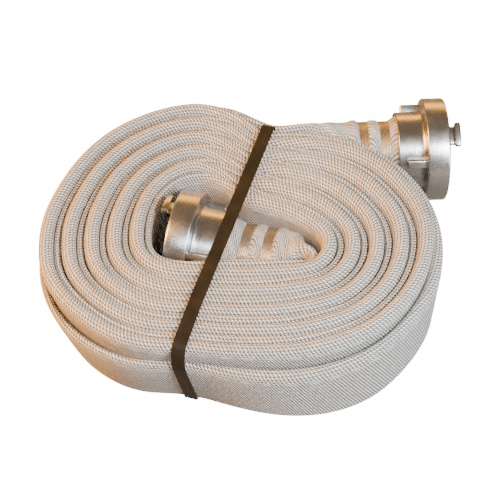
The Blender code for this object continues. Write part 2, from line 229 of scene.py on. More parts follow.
def jacket_material():
    """The woven polyester: coarse open stitches over the folds, a finer weave on the walls."""
    n = Nodes("woven_jacket")
    uv = n.add("ShaderNodeUVMap", uv_map="along_across").outputs[0]
    split = n.add("ShaderNodeSeparateXYZ", {0: uv})
    along, across = split.outputs[0], split.outputs[1]
    fold = n.add("ShaderNodeAttribute", attribute_name="fold").outputs["Fac"]
    crease_shade = n.add("ShaderNodeAttribute", attribute_name="crease_shade").outputs["Fac"]
    coarse, coarse_shade = stitches(n, along, across, 0.0033, 0.0031, 0.9, 2.3)
    fine, fine_shade = stitches(n, along, across, 0.0028, 0.0024, 0.6, 2.5)
    height = n.add("ShaderNodeMix", {0: fold, 2: fine, 3: coarse}).outputs[0]
    own = n.add("ShaderNodeMix", {0: fold, 2: fine_shade, 3: coarse_shade}).outputs[0]
    place = n.add("ShaderNodeTexCoord").outputs["Object"]
    cloud = n.remap(n.noise(place, 9.0, 3.0, 0.6), 0.35, 0.65)
    yarn = n.blend(cloud, (0.94, 0.86, 0.74, 1), (0.96, 0.91, 0.84, 1))
    yarn = n.blend(n.math("MULTIPLY", own, 0.42), yarn, (0.46, 0.40, 0.34, 1))
    gap = n.blend(cloud, (0.13, 0.095, 0.06, 1), (0.14, 0.115, 0.09, 1))
    colour = n.blend(n.remap(height, 0.05, 0.62), gap, yarn)
    dirt = n.noise(place, 34.0, 4.0, 0.65)
    colour = n.blend(n.remap(dirt, 0.56, 0.80, 0.0, 0.20), colour, (0.36, 0.28, 0.20, 1))
    # Painted shade: the colour is multiplied darker and browner in the creases between turns and
    # low on the outer wall's left front.
    crease_shade_share = n.math("MULTIPLY", crease_shade, 0.72)
    colour = n.blend(crease_shade_share, colour, (0.20, 0.145, 0.10, 1), "MULTIPLY")
    return n.finish(
        Base_Color=colour, Roughness=n.remap(height, 0.0, 1.0, 0.95, 0.55),
        Normal=n.bump(height, 1.0, 0.0016), Sheen_Weight=0.15, Sheen_Roughness=0.5)


def metal_material(name, colour, rough):
    """Turned aluminium in the piece's own frame, whose Z is the coupling's axis: fine
    grooves round the axis, specks, cloudy tone and a few bright scratches."""
    n = Nodes(name)
    place = n.add("ShaderNodeTexCoord").outputs["Object"]
    x, y, z = n.add("ShaderNodeSeparateXYZ", {0: place}).outputs
    squares = n.math("ADD", n.math("MULTIPLY", x, x), n.math("MULTIPLY", y, y))
    radius = n.math("SQRT", squares)
    per_metre = 2600.0
    turned = {0: n.math("MULTIPLY", z, per_metre), 1: n.math("MULTIPLY", radius, per_metre)}
    groove = n.noise(n.add("ShaderNodeCombineXYZ", turned).outputs[0], 1.0, 2.0, 0.6)
    cloud = n.noise(place, 60.0, 4.0, 0.6)
    speck = n.noise(place, 900.0, 2.0, 0.6)
    scratch = n.noise(n.scaled(place, (500, 40, 220), (0.4, 0.2, 0.5)), 1.0, 2.0, 0.5)
    tone = n.remap(n.math("ADD", cloud, n.math("MULTIPLY", groove, 0.5)), 0.45, 1.05)
    dark = tuple(channel * 0.84 for channel in colour)
    base = n.blend(tone, (*dark, 1), (*colour, 1))
    base = n.blend(n.remap(scratch, 0.66, 0.74, 0.0, 0.35), base, (0.85, 0.85, 0.86, 1))
    uneven = n.math("ADD", cloud, n.math("MULTIPLY", speck, 0.4))
    height = n.math("ADD", groove, n.math("MULTIPLY", speck, 0.5))
    return n.finish(
        Base_Color=base, Metallic=1.0, Normal=n.bump(height, 0.28, 0.00025),
        Roughness=n.remap(uneven, 0.4, 1.0, rough - 0.04, rough + 0.08))


def wire_material():
    """Stained binding wire, yellowish between greyer stretches."""
    n = Nodes("binding_wire")
    place = n.add("ShaderNodeTexCoord").outputs["Object"]
    grain = n.noise(n.scaled(place, (300, 300, 300)), 1.0, 3.0, 0.6)
    stain = n.noise(place, 90.0, 3.0, 0.6)
    base = n.blend(n.remap(stain, 0.4, 0.65), (0.42, 0.31, 0.17, 1), (0.52, 0.44, 0.32, 1))
    base = n.blend(n.remap(grain, 0.55, 0.75, 0.0, 0.5), base, (0.30, 0.24, 0.18, 1))
    return n.finish(
        Base_Color=base, Metallic=0.9, Roughness=n.remap(grain, 0.3, 0.7, 0.28, 0.5),
        Normal=n.bump(grain, 0.2, 0.0002))


def rubber_material():
    """Black rubber with a grey bloom and fine pits."""
    n = Nodes("black_rubber")
    place = n.add("ShaderNodeTexCoord").outputs["Object"]
    bloom = n.noise(place, 70.0, 4.0, 0.6)
    pit = n.noise(place, 1400.0, 2.0, 0.5)
    base = n.blend(n.remap(bloom, 0.4, 0.7), (0.018, 0.018, 0.019, 1), (0.05, 0.048, 0.046, 1))
    return n.finish(
        Base_Color=base, Roughness=n.remap(bloom, 0.3, 0.7, 0.5, 0.75),
        Normal=n.bump(pit, 0.3, 0.0002))


def steel_material():
    """Grey spring steel with a cloudy finish."""
    n = Nodes("spring_steel")
    place = n.add("ShaderNodeTexCoord").outputs["Object"]
    cloud = n.noise(place, 120.0, 3.0, 0.6)
    base = n.blend(n.remap(cloud, 0.4, 0.65), (0.32, 0.32, 0.33, 1), (0.5, 0.5, 0.5, 1))
    return n.finish(
        Base_Color=base, Metallic=1.0, Roughness=n.remap(cloud, 0.3, 0.7, 0.25, 0.42),
        Normal=n.bump(cloud, 0.15, 0.0003))


def strapping_material():
    """Embossed polypropylene: a fine diamond pattern pressed into a dark band."""
    n = Nodes("black_strapping")
    uv = n.add("ShaderNodeUVMap", uv_map="along_across").outputs[0]
    split = n.add("ShaderNodeSeparateXYZ", {0: uv})
    along, across = split.outputs[0], split.outputs[1]
    per_metre = 3300.0
    one = n.math("SINE", n.math("MULTIPLY", n.math("ADD", along, across), per_metre))
    two = n.math("SINE", n.math("MULTIPLY", n.math("SUBTRACT", along, across), per_metre))
    diamonds = n.math("MULTIPLY", one, two)
    place = n.add("ShaderNodeTexCoord").outputs["Object"]
    cloud = n.noise(place, 26.0, 3.0, 0.6)
    streak = n.noise(n.scaled(uv, (30, 900, 1)), 1.0, 2.0, 0.6)
    base = n.blend(n.remap(cloud, 0.38, 0.62), (0.010, 0.009, 0.006, 1), (0.020, 0.015, 0.009, 1))
    base = n.blend(n.remap(streak, 0.58, 0.8, 0.0, 0.35), base, (0.05, 0.04, 0.03, 1))
    height = n.math("ADD", diamonds, n.math("MULTIPLY", streak, 0.6))
    return n.finish(
        Base_Color=base, Roughness=n.remap(cloud, 0.3, 0.7, 0.34, 0.55),
        Normal=n.bump(height, 0.3, 0.0002), Specular_IOR_Level=0.14)


FLOOR_GLOW = 14.0


def floor_material():
    """Paper white to the camera, and a muted bounce on the object."""
    n = Nodes("pale_floor")
    place = n.add("ShaderNodeTexCoord").outputs["Object"]
    grain = n.noise(place, 260.0, 3.0, 0.6)
    seen = n.add("ShaderNodeLightPath").outputs["Is Camera Ray"]
    white = n.blend(n.remap(grain, 0.3, 0.7), (0.93, 0.93, 0.93, 1), (0.95, 0.95, 0.95, 1))
    base = n.blend(seen, (0.20, 0.165, 0.13, 1), white)
    return n.finish(
        Base_Color=base, Roughness=0.9, Emission_Color=(1.0, 1.0, 1.0, 1),
        Emission_Strength=n.math("MULTIPLY", seen, FLOOR_GLOW))


JACKET = jacket_material()
CAST = metal_material("cast_aluminium", (0.56, 0.545, 0.53), 0.25)
MACHINED = metal_material("machined_aluminium", (0.74, 0.74, 0.74), 0.24)
WIRE = wire_material()
RUBBER = rubber_material()
STEEL = steel_material()
STRAPPING = strapping_material()


# ---------------------------------------------------------------- the hose's route

# A place along the hose is a turn value: whole at the notch under the band, at 80 degrees
# in plan, and growing clockwise.
NOTCH = 80
FIRST_TURN = 0.35
LAST_TURN = 10.985


def direction_of(turns):
    """Directions in plan, in radians, at these turn values."""
    return np.radians(NOTCH - 360 * turns)


def at_turn(turn, rows):
    """(angle, radius) rows of one turn as (turn value, radius in mm) rows."""
    return [(turn + ((NOTCH - angle) % 360) / 360, radius) for angle, radius in rows]


# The outer surface of the outermost turn of full height, and of the last turn.
NINTH = at_turn(9, (
    (80, 107), (70, 113), (60, 123), (50, 134), (41, 143), (30, 152), (20, 157.5), (8, 165),
    (357, 169), (347, 170), (335, 170), (320, 168), (310, 166), (300, 162), (288, 157),
    (276, 152), (263, 150.5), (251, 153.5), (240, 165), (230, 173), (220, 177), (208, 182),
    (200, 184), (190, 181), (180, 178), (165, 172), (150, 170), (138, 169), (125, 166),
    (115, 163), (105, 158), (98, 150), (91, 139), (85, 125),
))
LAST = at_turn(10, (
    (80, 116), (75, 119.5), (70, 124), (64, 130.5), (57, 138), (50, 146), (44, 152),
    (36, 158), (28, 165), (20, 170), (11, 175), (3, 178), (355, 180), (347, 182),
    (339, 183), (332, 181), (325, 178), (312, 177), (302, 175), (293, 172), (280, 166),
    (268, 160), (254, 155.5), (247, 159), (240, 168), (233, 175), (226, 179.5), (218, 184),
    (207, 186), (195, 186), (183, 183), (165, 177), (150, 175), (138, 174), (125, 174),
    (115, 172.5), (106, 169), (99, 162), (93, 152), (87, 140),
)) + [(11.0, 126)]
# Where the outer wall of the last turn stands on the floor.
FOOT = at_turn(10, (
    (80, 116), (64, 130.5), (50, 146), (36, 157), (20, 167), (3, 176), (354, 178.5),
    (344, 178.5), (333, 179), (320, 178), (310, 177), (300, 173), (291, 166), (284, 159.5),
    (276, 152), (268, 146), (259, 139), (254, 137), (246, 144), (235, 156), (226, 163),
    (217, 167), (205, 168), (190, 172), (178, 174), (160, 172), (138, 171), (115, 170),
    (100, 161), (87, 139),
)) + [(11.0, 126)]

# The inner edge of the first turn: the direction of the spoke that it lies on, x and y.
CORE = (
    (314, 52, -43), (300, 30, -43), (285, 12, -43), (270, -6, -43.5), (255, -25, -44),
    (240, -45, -44.5), (225, -61, -42.5), (210, -72.5, -36.5), (195, -78, -24.5),
    (180, -79, -6), (165, -78, 9.5), (150, -75, 24.5), (135, -68, 39), (120, -56.5, 52),
    (105, -41, 58), (90, -24, 52), (80, -12, 43), (70, -4, 33), (60, 6, 25), (45, 20, 18.5),
    (30, 36, 13), (15, 52, 4), (0, 66, -7), (-15, 73, -21), (-30, 71, -36),
)

# Round this point the strip turns back, from the inner tail into the first turn.
HAIRPIN_CENTRE = np.array([57.0, -39.0])
HAIRPIN_RADIUS = 9.6

# The band's middle line in plan, and its direction.
BAND_POINT = np.array([-9.0, 3.7])
BAND_HEADING = np.array([0.2866, 0.958])

# How far behind each coupling's face the drawn hose starts, in mm.
TAIL_START = 43.0


def outline_radius(turn):
    """Outer radius of the roll at these turn values, on its ninth or its last turn, in mm."""
    return monotone_curve(NINTH + LAST, np.atleast_1d(turn))[:, 0]


def spiral(turns):
    """(centreline, slot width) in mm at these turn values up to 10. A spoke from the inner
    edge to the outline is shared out evenly among the turns that cross it."""
    part = (turns - FIRST_TURN) % 1.0
    lap = np.round(turns - FIRST_TURN - part)
    first = FIRST_TURN + part
    rows = [(((NOTCH - angle) % 360) / 360, x, y) for angle, x, y in CORE]
    rows = [(value + (value < FIRST_TURN - 0.001), x, y) for value, x, y in rows]
    start = np.array(rows[0][1:])
    angle = direction_of(FIRST_TURN)
    outer_start = outline_radius(9 + FIRST_TURN)[0] * np.array([math.cos(angle), math.sin(angle)])
    rows.append((FIRST_TURN + 1, *(start + (outer_start - start) / 10)))
    edge = monotone_curve(rows, first)
    on_ninth = 9 + (turns % 1.0)
    angles = direction_of(turns)
    rays = np.stack([np.cos(angles), np.sin(angles)], axis=1)
    outer = rays * outline_radius(on_ninth)[:, None]
    slots = np.round(on_ninth - first) + 1
    share = (lap + 0.5) / slots
    width = np.linalg.norm(outer - edge, axis=1) / slots
    return edge + (outer - edge) * share[:, None], width


def tail_line(name, distances):
    """Points of a coupling's axis at these distances behind its face, in mm."""
    place = COUPLINGS[name]
    heading = math.radians(place["heading"])
    back = -np.array([math.cos(heading), math.sin(heading)])
    return np.array(place["face"]) * 1000 + back * np.asarray(distances)[:, None]


def last_turn():
    """(centreline, slot width, turn values) of the turn that leaves for the outer coupling."""
    turns = np.arange(10.0, LAST_TURN, 0.0028)
    angles = direction_of(turns)
    radius = outline_radius(turns)
    lean_in = radius - monotone_curve(FOOT, turns)[:, 0]
    gap = np.clip(radius - outline_radius(turns - 1.0) + 0.19 * lean_in, 7.0, 13.0)
    middle = radius - 0.5 * gap
    line = np.stack([np.cos(angles), np.sin(angles)], axis=1) * middle[:, None]
    return line, gap, turns


def route():
    """The hose's centreline from the inner coupling to the outer one, in mm, with each
    point's turn value, its slot's width, and 0 on the couplings' tails or 1 elsewhere."""
    inner_tail = tail_line("inner", np.arange(TAIL_START, 105.0, 0.75))
    heading = math.radians(COUPLINGS["inner"]["heading"] - 180)
    sweep = np.linspace(heading + math.pi / 2, -math.pi / 2, 24)
    round_bend = np.stack([np.cos(sweep), np.sin(sweep)], axis=1)
    hairpin = HAIRPIN_CENTRE + HAIRPIN_RADIUS * round_bend
    turns = np.arange(FIRST_TURN + 0.004, 10.0, 0.0045)
    wound, slot = spiral(turns)
    last, gap, late = last_turn()
    lead = np.array([(34.0, 118.5), (47.0, 122.3), (60.0, 124.6), (75.0, 125.2)])
    outer_tail = tail_line("outer", np.arange(104.0, TAIL_START - 0.5, -0.75))
    pieces = [
        (inner_tail, 0.0, 0.0, 0.0), (hairpin, 0.2, 10.0, 1.0), (wound, turns, slot, 1.0),
        (last, late, gap, 1.0), (lead, 11.0, 9.0, 1.0), (outer_tail, 11.1, 9.0, 0.0),
    ]
    columns = [
        np.concatenate([np.broadcast_to(piece[k], len(piece[0])) for piece in pieces])
        for k in (1, 2, 3)
    ]
    return np.concatenate([piece[0] for piece in pieces]), *columns


def even_stations(points, others, spacing):
    """(points, values, distances) of the polyline and the values along it, read again at
    the spacing wanted at each place."""
    steps = np.linalg.norm(np.diff(points, axis=0), axis=1)
    length = np.concatenate([[0], np.cumsum(steps)])
    order = np.arange(len(length))
    at = [0.0]
    while at[-1] < length[-1]:
        at.append(at[-1] + spacing(int(np.interp(at[-1], length, order))))
    at = np.array(at[:-1] + [length[-1]])
    line = np.stack([np.interp(at, length, points[:, k]) for k in (0, 1)], axis=1)
    return line, [np.interp(at, length, values) for values in others], at


def make_stations():
    """Points along the hose, in mm, with their turn values, slot widths, 0 to 1 off the
    tails, and distances along it. They lie closer on the tails."""
    points, turn, slots, off_tails = route()
    line, (turn, slots, free), length = even_stations(
        points, [turn, slots, off_tails], lambda index: 1.1 if off_tails[index] < 0.5 else 3.0)
    smoothed = gaussian(line, 3.0)
    line = line * (1 - free)[:, None] + smoothed * free[:, None]
    return line, turn, gaussian(slots, 6.0), free, length


# ---------------------------------------------------------------- the hose's section

SECTION_POINTS = 44
TOP_ROUNDING = 7.5
FOOT_ROUNDING = 4.5


def section(half_width, half_top, low, high, lean, roundness, radius):
    """One station's outline as (outward offset, height) rows, from the foot up the outer
    side, over the fold and down the inner side. Millimetres."""
    angle = np.linspace(0, 2 * np.pi, SECTION_POINTS, endpoint=False)
    c, s = np.cos(angle - np.pi / 2), np.sin(angle - np.pi / 2)
    middle, half = (low + high) / 2, (high - low) / 2
    height = middle + half * np.sign(s) * np.abs(s) ** 0.9
    up = smoothstep(high - 30, high - 9, height)
    width = half_width + (half_top - half_width) * up
    top_share = np.clip((height - (high - TOP_ROUNDING)) / TOP_ROUNDING, 0, 1)
    foot_share = np.clip(((low + FOOT_ROUNDING) - height) / FOOT_ROUNDING, 0, 1)
    rounding = np.sqrt(np.clip(1 - top_share**2, 0, 1)) * np.sqrt(np.clip(1 - foot_share**2, 0, 1))
    offset = np.sign(c) * width * rounding * (np.abs(c) > 1e-9)
    offset = offset + lean * (1 - (height - low) / (high - low)) ** 1.2
    circle = np.stack([c * radius, AXIS_HEIGHT * 1000 + s * radius], axis=1)
    flat = np.stack([offset, height], axis=1)
    return flat * (1 - roundness) + circle * roundness


def tail_radius(name, distance):
    """Radius of the jacket at these distances behind the coupling's face, in mm: flared at
    the hub, drawn in under the bindings, bulging between and behind them."""
    first, second = (-1000 * z for z in COUPLINGS[name]["bindings"])
    radius = np.full(len(distance), 28.8)
    radius += 4.4 * (1 - smoothstep(45.0, first - 3.0, distance))
    for middle in (first, second):
        radius -= 2.0 * np.exp(-(((distance - middle) / 4.6) ** 4))
    radius += 1.3 * np.exp(-(((distance - (first + second) / 2) / 5.0) ** 2))
    radius += 1.9 * np.exp(-(((distance - second - 8.5) / 4.2) ** 2))
    return radius


def band_distance(points):
    """Distance in plan from the band's middle line, in mm."""
    away = points - BAND_POINT
    return np.abs(away[:, 0] * BAND_HEADING[1] - away[:, 1] * BAND_HEADING[0])


# How far the top of the last turn has slipped down, by turn value, in mm: most at the left
# and in front.
DROP = (
    (9.9, 0), (10.10, 0), (10.16, 2), (10.22, 5), (10.27, 9), (10.33, 15), (10.40, 18),
    (10.50, 20), (10.60, 22.5), (10.70, 26), (10.80, 24), (10.88, 16), (10.94, 6),
    (10.98, 1), (11.0, 0), (11.4, 0),
)


def foot_lean(turn):
    """How far each station's foot stands out from its top, in mm: the outer turns lean in
    at the foot, and the first ones stand away from the inner coupling."""
    on_last = 10 + (np.clip(turn, 0.0, 10.9999) % 1.0)
    lean = monotone_curve(FOOT, on_last)[:, 0] - monotone_curve(NINTH + LAST, on_last)[:, 0]
    depth = np.clip((turn - FIRST_TURN) / (10.5 - FIRST_TURN), 0.0, 1.0)
    lean = lean * depth * (turn < 11.0)
    beside_coupling = np.exp(-(((turn % 1.0) - 0.66) / 0.12) ** 2)
    innermost = np.clip(1 - (turn - FIRST_TURN) / 4, 0, 1) * (turn > FIRST_TURN)
    lean += 5.0 * beside_coupling * innermost
    return gaussian(lean, 8.0)


def section_facts(line, turn, slots, free, length):
    """What section() takes at each station, as a dictionary of arrays."""
    count = len(line)
    # Every second turn's fold is wide and stands up; the one between is squeezed and low.
    wide = 0.5 - 0.5 * np.clip(4.6 * np.sin(np.pi * turn), -1, 1)
    contrast = 1 - 0.55 * np.exp(-((((turn % 1.0) - 0.47) / 0.10) ** 2))
    share = 0.5 + (wide - 0.5) * contrast
    random = np.random.default_rng(7)
    wobble = gaussian(random.normal(size=count), 14) * 3.2
    wander = gaussian(random.normal(size=count), 40) * 4.0
    half_top = slots * (0.335 + 0.33 * share) * 0.985
    half_top *= 1 + 0.035 * wobble
    high = np.full(count, ROLL_TOP) - 5.2 * (1 - share) * contrast - 0.25
    high -= 0.45 * np.abs(wander)
    high -= monotone_curve(DROP, np.clip(turn, 9.9, 11.4))[:, 0] * (turn > 9.9)
    # The band presses the folds down a little.
    press = np.exp(-((band_distance(line) / 13.0) ** 2)) * (free > 0.5)
    high -= press * (1.7 * share)
    half_width = np.clip(slots * 0.44, 2.2, 4.7)
    lean = foot_lean(turn)

    is_last = smoothstep(9.97, 10.08, turn)
    half_top = half_top * (1 - is_last) + slots * 0.49 * is_last
    half_width = half_width * (1 - is_last) + slots * 0.47 * is_last

    # The two ends go from flat to round on their couplings' hose tails.
    from_inner = length + TAIL_START
    from_outer = length[-1] - length + TAIL_START
    round_inner = 1 - smoothstep(103.0, 126.0, from_inner)
    round_outer = 1 - smoothstep(88.0, 132.0, from_outer)
    on_inner, on_outer = tail_radius("inner", from_inner), tail_radius("outer", from_outer)
    near_outer = smoothstep(200.0, 130.0, from_outer)
    half_top = half_top * (1 - near_outer) + 4.4 * near_outer
    half_width = half_width * (1 - near_outer) + 4.4 * near_outer
    near_inner = smoothstep(190.0, 130.0, from_inner)
    half_top = half_top * (1 - near_inner) + 4.6 * near_inner
    return {
        "half_width": half_width, "half_top": half_top, "low": np.full(count, HOSE_FOOT),
        "high": high, "lean": lean * (1 - near_outer),
        "roundness": np.maximum(round_inner, round_outer),
        "radius": np.where(from_inner < 200, on_inner, on_outer),
    }


# ---------------------------------------------------------------- the hose's mesh

# In front, most folds press together in pairs, and the painted shade in the crease within a
# pair is faint. One weight for the painted crease shade inside each lap, from the core out.
CREASE_SHADE_IN_FRONT = np.array([1.0, 1.0, 0.30, 0.95, 0.85, 0.30, 1.0, 0.35, 1.0, 1.0, 1.0, 1.0])


def fold_and_crease_shade(turn, depth, roundness):
    """Two values for each point, from its depth under its fold's top, in mm: how much it
    lies on the fold, where the stitches are coarse, and how dark the painted shade in its crease
    is."""
    fold = smoothstep(13.0, 8.0, depth) * (1 - roundness) + 0.35 * roundness
    inner_side = np.broadcast_to(np.arange(SECTION_POINTS) > SECTION_POINTS // 2, depth.shape)
    place = turn % 1.0
    lap = np.floor(turn - FIRST_TURN + 0.0001).astype(int).clip(0, 10)
    in_front = np.exp(-((place - 0.43) / 0.10) ** 2)
    outer_weight = 1 - in_front * (1 - CREASE_SHADE_IN_FRONT[lap + 1] * 0.8)
    inner_weight = 1 - in_front * (1 - CREASE_SHADE_IN_FRONT[lap] * 0.8)
    # Painted shade: darker the deeper a point lies between the turns.
    crease_shade = smoothstep(0.62, 1.5, depth / 9.0) * 0.9
    crease_shade *= np.where(inner_side, inner_weight, outer_weight)
    crease_shade = np.where((turn > 0.25) & (turn < 10.95), crease_shade, 0.0)

    # The open outer wall has no crease, only some painted shade at the left, low in front.
    shaded_wall = 0.5 * np.exp(-((place - 0.54) / 0.09) ** 2) * smoothstep(6.0, 45.0, depth)
    crease_shade = np.where((turn > 9.97) & ~inner_side, shaded_wall, crease_shade)
    over_last = (turn > 8.97) & (turn <= 9.97) & ~inner_side
    crease_shade = np.where(over_last, crease_shade * 0.25, crease_shade)
    beside_core = (turn < 1.35) & inner_side
    return fold, np.where(beside_core, crease_shade * 0.12, crease_shade)


def add_strip_uv(mesh, length, perimeter):
    """A UV map in metres, along the hose and round its section."""
    wrap = np.concatenate([perimeter, perimeter[:, -1:] + 4.0], axis=1) / 1000
    start = np.repeat(length[:-1] / 1000, SECTION_POINTS)
    end = np.repeat(length[1:] / 1000, SECTION_POINTS)
    corners = (
        (start, wrap[:-1, :-1]), (end, wrap[1:, :-1]), (end, wrap[1:, 1:]), (start, wrap[:-1, 1:]),
    )
    quads = [np.stack([u, v.reshape(-1)], axis=1) for u, v in corners]
    quads = np.stack(quads, axis=1).reshape(-1, 2)
    coordinates = np.zeros((len(mesh.loops), 2), np.float32)
    coordinates[:len(quads)] = quads
    layer = mesh.uv_layers.new(name="along_across")
    layer.data.foreach_set("uv", coordinates.reshape(-1))


def make_hose():
    line, turn, slots, free, length = make_stations()
    facts = section_facts(line, turn, slots, free, length)
    tangent = np.gradient(line, axis=0)
    tangent /= np.linalg.norm(tangent, axis=1)[:, None]
    outward = np.stack([-tangent[:, 1], tangent[:, 0]], axis=1)

    count = len(line)
    rings = np.empty((count, SECTION_POINTS, 3))
    perimeter = np.empty((count, SECTION_POINTS))
    for i in range(count):
        outline = section(**{key: values[i] for key, values in facts.items()})
        rings[i, :, :2] = line[i] + outward[i] * outline[:, :1]
        rings[i, :, 2] = outline[:, 1]
        step = np.linalg.norm(np.roll(outline, -1, axis=0) - outline, axis=1)
        perimeter[i] = np.concatenate([[0], np.cumsum(step)[:-1]])

    index = np.arange(count * SECTION_POINTS).reshape(count, SECTION_POINTS)
    after = np.roll(index, -1, axis=1)
    quads = np.stack([index[:-1], index[1:], after[1:], after[:-1]], axis=-1).reshape(-1, 4)
    faces = quads.tolist() + [index[0].tolist(), index[-1][::-1].tolist()]
    vertices = (rings / 1000 - ORIGIN).reshape(-1, 3)
    mesh = bpy.data.meshes.new("hose")
    mesh.from_pydata(vertices.tolist(), [], faces)
    mesh.update()
    add_strip_uv(mesh, length, perimeter)
    depth = facts["high"][:, None] - rings[..., 2]
    # The crease values are painted shade: they darken the jacket's colour in the creases between
    # turns.
    fold, crease_shade = fold_and_crease_shade(turn[:, None], depth, facts["roundness"][:, None])
    for name, values in (("fold", fold), ("crease_shade", crease_shade)):
        layer = mesh.attributes.new(name, "FLOAT", "POINT")
        layer.data.foreach_set("value", np.ascontiguousarray(values, np.float32).reshape(-1))

    hose = new_piece("hose", mesh, JACKET, "roll")
    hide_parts("hose_roll", "hose_inner_tail", "hose_outer_tail")


make_hose()


# ---------------------------------------------------------------- couplings

def coupling_matrix(place):
    """The coupling's own frame: Z out of its face, Y up."""
    heading = math.radians(place["heading"])
    axis = Vector((math.cos(heading), math.sin(heading), 0.0))
    up = Vector((0.0, 0.0, 1.0))
    across = up.cross(axis)
    turn = Matrix((across, up, axis)).transposed().to_4x4()
    x, y = place["face"]
    return Matrix.Translation((x - ORIGIN[0], y - ORIGIN[1], AXIS_HEIGHT)) @ turn


def lean_angle(place, lean):
    """The angle about the coupling's axis that leans this many degrees to the front."""
    front_is_plus_x = math.cos(math.radians(place["heading"])) < 0
    return math.radians(90 - lean if front_is_plus_x else 90 + lean)


def rounded_profile(corners, segments=3):
    """A closed (radius, z) profile in metres, with each corner rounded to its own size,
    from (radius, z, rounding) rows in mm."""
    result = []
    count = len(corners)
    for i, (r, z, cut) in enumerate(corners):
        here = np.array([r, z])
        if cut <= 0:
            result.append(here)
            continue
        before = np.array(corners[i - 1][:2])
        after = np.array(corners[(i + 1) % count][:2])
        one = (before - here) / np.linalg.norm(before - here)
        two = (after - here) / np.linalg.norm(after - here)
        for k in range(segments + 1):
            share = k / segments
            start, end = here + one * cut, here + two * cut
            ends = (1 - share) ** 2 * start + share**2 * end
            result.append(ends + 2 * share * (1 - share) * here)
    return np.array(result) / 1000


def spin(profile, count=144, start=0.0, sweep=math.tau):
    """(vertices, faces) of a profile turned about Z, closed when the sweep is a full turn."""
    whole = abs(sweep - math.tau) < 1e-6
    steps = count if whole else count + 1
    angles = start + sweep * np.arange(steps) / count
    vertices = np.stack([
        np.outer(np.cos(angles), profile[:, 0]), np.outer(np.sin(angles), profile[:, 0]),
        np.broadcast_to(profile[:, 1], (steps, len(profile))),
    ], axis=-1).reshape(-1, 3)
    faces = []
    size = len(profile)
    for i in range(count):
        a, b = i * size, ((i + 1) % steps) * size
        for k in range(size):
            m = (k + 1) % size
            faces.append((a + k, a + m, b + m, b + k))
    if not whole:
        faces.append(tuple(range(size))[::-1])
        faces.append(tuple(range((steps - 1) * size, steps * size)))
    return vertices, faces


def joined_mesh(name, shells):
    """One mesh of several closed shells."""
    work = bmesh.new()
    for vertices, faces in shells:
        made = [work.verts.new(v) for v in vertices]
        for face in faces:
            work.faces.new([made[i] for i in face])
    bmesh.ops.recalc_face_normals(work, faces=work.faces)
    mesh = bpy.data.meshes.new(name)
    work.to_mesh(mesh)
    work.free()
    return mesh


def bevelled_block(matrix, size, cut, segments):
    """A block with rounded edges, in metres, as (vertices, faces)."""
    work = bmesh.new()
    bmesh.ops.create_cube(work, size=1.0)
    bmesh.ops.scale(work, vec=size, verts=work.verts)
    bmesh.ops.bevel(
        work, geom=work.edges, offset=cut, segments=segments, profile=0.5, affect="EDGES")
    bmesh.ops.transform(work, matrix=matrix, verts=work.verts)
    work.verts.index_update()
    vertices = [tuple(v.co) for v in work.verts]
    faces = [tuple(v.index for v in f.verts) for f in work.faces]
    work.free()
    return vertices, faces


def arc_block(radii, heights, middle, width, cut, steps=14):
    """An arc-shaped block with rounded edges, as (vertices, faces). Its radii, heights and
    rounding are in mm, its middle and width in radians."""
    (inner, outer), (low, high) = radii, heights
    corners = ((inner, low, cut), (outer, low, cut), (outer, high, cut), (inner, high, cut))
    outline = rounded_profile(corners, 2)
    centre = outline.mean(axis=0)
    size = len(outline)
    vertices = []
    for k in range(steps + 1):
        share = k / steps
        from_end = min(share, 1 - share) * width * (inner + outer) / 2
        shrink = 1.0
        if from_end < cut:
            drawn_in = 1 - math.sqrt(1 - (1 - from_end / cut) ** 2)
            shrink = 1 - drawn_in * cut / (outer - inner) * 2
        angle = middle + (share - 0.5) * width
        rows = centre + (outline - centre) * max(0.35, shrink)
        vertices += [(r * math.cos(angle), r * math.sin(angle), z) for r, z in rows]
    faces = []
    for i in range(steps):
        here, there = i * size, (i + 1) * size
        for k in range(size):
            m = (k + 1) % size
            faces.append((here + k, here + m, there + m, there + k))
    faces.append(tuple(range(size))[::-1])
    faces.append(tuple(range(steps * size, (steps + 1) * size)))
    return vertices, faces


def coupling_piece(name, shells, place, material, body, node):
    """A piece on a coupling's axis, which stands for one CAD node."""
    matrix = coupling_matrix(place)
    obj = new_piece(name, joined_mesh(name, shells), material, body, 38, matrix)
    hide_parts(node)


